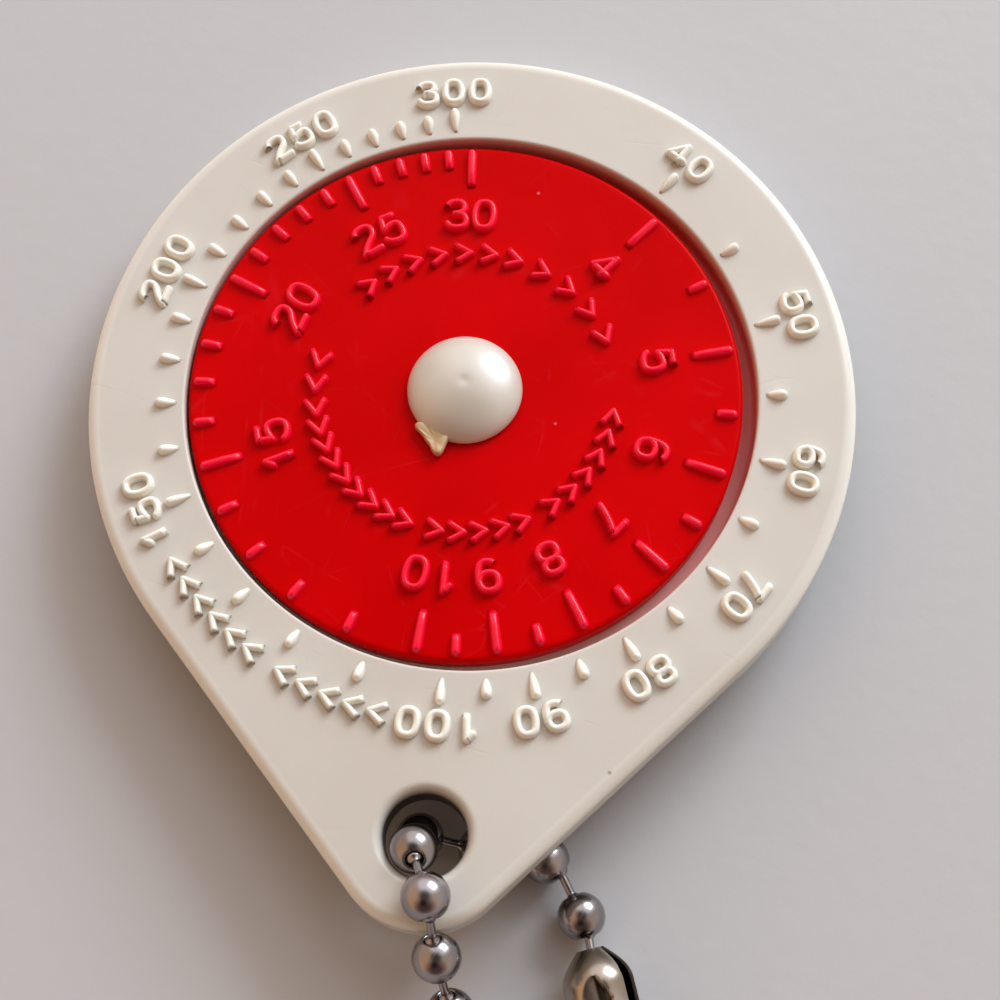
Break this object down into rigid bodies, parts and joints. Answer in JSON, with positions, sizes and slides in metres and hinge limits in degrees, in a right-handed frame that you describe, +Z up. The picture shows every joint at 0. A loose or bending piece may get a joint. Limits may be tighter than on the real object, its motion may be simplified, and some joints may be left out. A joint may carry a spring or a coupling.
{
  "type": "mileage calculator keychain",
  "caption": "Pocket circular slide rule: a teardrop plastic body with a dial that turns on a staked rivet, on a ball chain loop with a tubular connector.",
  "frame": {"origin": "on the body's axis, on the floor of the label recess in its back", "axes": "+Z up from the table that the keychain lies on, +Y towards the top of the body, away from the chain, +X to the right; the body leans back by the thickness of the beads under its tip"},
  "size_m": [0.04, 0.0825, 0.008],
  "materials": {
    "ivory_plastic": "satin moulded polystyrene",
    "red_plastic": "glossy, finely scratched",
    "white_plastic": "glossy",
    "nickel_beads": "bright nickel plate",
    "nickel_sleeve": "rolled nickel plate, slightly tarnished"
  },
  "bodies": {
    "root": {"body": "ivory_plastic", "rivet": "white_plastic"},
    "dial": {"dial": "red_plastic"},
    "hole_links": {"bead_2": "nickel_beads", "bead_3": "nickel_beads", "bead_4": "nickel_beads", "bead_5": "nickel_beads", "bead_6": "nickel_beads", "bead_7": "nickel_beads", "bead_8": "nickel_beads", "pin_2": "nickel_beads", "pin_3": "nickel_beads", "pin_4": "nickel_beads", "pin_5": "nickel_beads", "pin_6": "nickel_beads", "pin_7": "nickel_beads"},
    "left_links": {"bead_9": "nickel_beads", "bead_10": "nickel_beads", "bead_11": "nickel_beads", "pin_8": "nickel_beads", "pin_9": "nickel_beads", "pin_10": "nickel_beads"},
    "link_12": {"bead_12": "nickel_beads", "pin_11": "nickel_beads"},
    "link_13": {"bead_13": "nickel_beads", "pin_12": "nickel_beads"},
    "link_14": {"bead_14": "nickel_beads", "pin_13": "nickel_beads"},
    "link_15": {"bead_15": "nickel_beads", "pin_14": "nickel_beads"},
    "link_16": {"bead_16": "nickel_beads", "pin_15": "nickel_beads"},
    "link_17": {"bead_17": "nickel_beads", "pin_16": "nickel_beads"},
    "bow": {"bead_18": "nickel_beads", "bead_19": "nickel_beads", "bead_20": "nickel_beads", "bead_21": "nickel_beads", "pin_17": "nickel_beads", "pin_18": "nickel_beads", "pin_19": "nickel_beads", "pin_20": "nickel_beads", "pin_21": "nickel_beads"},
    "connector_links": {"connector": "nickel_sleeve", "bead_1": "nickel_beads", "bead_28": "nickel_beads", "pin_1": "nickel_beads"},
    "link_27": {"bead_27": "nickel_beads", "pin_27": "nickel_beads"},
    "link_26": {"bead_26": "nickel_beads", "pin_26": "nickel_beads"},
    "link_25": {"bead_25": "nickel_beads", "pin_25": "nickel_beads"},
    "link_24": {"bead_24": "nickel_beads", "pin_24": "nickel_beads"},
    "link_23": {"bead_23": "nickel_beads", "pin_23": "nickel_beads"},
    "link_22": {"bead_22": "nickel_beads", "pin_22": "nickel_beads"}
  },
  "joints": [
    {"name": "dial_spin", "type": "hinge", "parent": "root", "child": "dial", "pos_m": [-0.0003, 0.0001, -0.00001], "axis": [0, 0.0611, 0.9981], "continuous": true},
    {"name": "chain_sway", "type": "hinge", "parent": "root", "child": "hole_links", "pos_m": [-0.0034, -0.02256, 0.00368], "axis": [0, 0, 1], "range_deg": [-25, 25]},
    {"name": "chain_curl", "type": "hinge", "parent": "hole_links", "child": "left_links", "pos_m": [-0.00302, -0.02891, 0.0033], "axis": [0, 0, 1], "range_deg": [-3, 3]},
    {"name": "bend_12", "type": "hinge", "parent": "left_links", "child": "link_12", "pos_m": [-0.00153, -0.03734, -0.00016], "axis": [0, 0, 1], "range_deg": [-3, 3]},
    {"name": "bend_13", "type": "hinge", "parent": "link_12", "child": "link_13", "pos_m": [-0.00107, -0.04054, -0.00016], "axis": [0, 0, 1], "range_deg": [-3, 3]},
    {"name": "bend_14", "type": "hinge", "parent": "link_13", "child": "link_14", "pos_m": [-0.00069, -0.04376, -0.00016], "axis": [0, 0, 1], "range_deg": [-3, 3]},
    {"name": "bend_15", "type": "hinge", "parent": "link_14", "child": "link_15", "pos_m": [-0.0004, -0.04699, -0.00016], "axis": [0, 0, 1], "range_deg": [-3, 3]},
    {"name": "bend_16", "type": "hinge", "parent": "link_15", "child": "link_16", "pos_m": [-0.00019, -0.05022, -0.00016], "axis": [0, 0, 1], "range_deg": [-3, 3]},
    {"name": "bend_17", "type": "hinge", "parent": "link_16", "child": "link_17", "pos_m": [-0.00007, -0.05346, -0.00016], "axis": [0, 0, 1], "range_deg": [-3, 3]},
    {"name": "bow_bend", "type": "hinge", "parent": "link_17", "child": "bow", "pos_m": [-0.00004, -0.0567, -0.00016], "axis": [0, 0, 1], "range_deg": [-21, 21]},
    {"name": "connector_bend", "type": "hinge", "parent": "hole_links", "child": "connector_links", "pos_m": [0.00419, -0.02735, -0.00012], "axis": [0, 0, 1], "range_deg": [-3, 3]},
    {"name": "bend_27", "type": "hinge", "parent": "connector_links", "child": "link_27", "pos_m": [0.00553, -0.03569, 0.00018], "axis": [0, 0, 1], "range_deg": [-3, 3]},
    {"name": "bend_26", "type": "hinge", "parent": "link_27", "child": "link_26", "pos_m": [0.00598, -0.03888, -0.0002], "axis": [0, 0, 1], "range_deg": [-3, 3]},
    {"name": "bend_25", "type": "hinge", "parent": "link_26", "child": "link_25", "pos_m": [0.00636, -0.0421, -0.00016], "axis": [0, 0, 1], "range_deg": [-3, 3]},
    {"name": "bend_24", "type": "hinge", "parent": "link_25", "child": "link_24", "pos_m": [0.00665, -0.04532, -0.00016], "axis": [0, 0, 1], "range_deg": [-3, 3]},
    {"name": "bend_23", "type": "hinge", "parent": "link_24", "child": "link_23", "pos_m": [0.00685, -0.04856, -0.00016], "axis": [0, 0, 1], "range_deg": [-3, 3]},
    {"name": "bend_22", "type": "hinge", "parent": "link_23", "child": "link_22", "pos_m": [0.00697, -0.05179, -0.00016], "axis": [0, 0, 1], "range_deg": [-3, 3]}
  ],
  "couplings": [
    {"joint": "bend_12", "follows": "chain_curl", "ratio": 1},
    {"joint": "bend_13", "follows": "chain_curl", "ratio": 1},
    {"joint": "bend_14", "follows": "chain_curl", "ratio": 1},
    {"joint": "bend_15", "follows": "chain_curl", "ratio": 1},
    {"joint": "bend_16", "follows": "chain_curl", "ratio": 1},
    {"joint": "bend_17", "follows": "chain_curl", "ratio": 1},
    {"joint": "bow_bend", "follows": "chain_curl", "ratio": -7},
    {"joint": "connector_bend", "follows": "chain_curl", "ratio": 1},
    {"joint": "bend_27", "follows": "chain_curl", "ratio": 1},
    {"joint": "bend_26", "follows": "chain_curl", "ratio": 1},
    {"joint": "bend_25", "follows": "chain_curl", "ratio": 1},
    {"joint": "bend_24", "follows": "chain_curl", "ratio": 1},
    {"joint": "bend_23", "follows": "chain_curl", "ratio": 1},
    {"joint": "bend_22", "follows": "chain_curl", "ratio": 1}
  ]
}
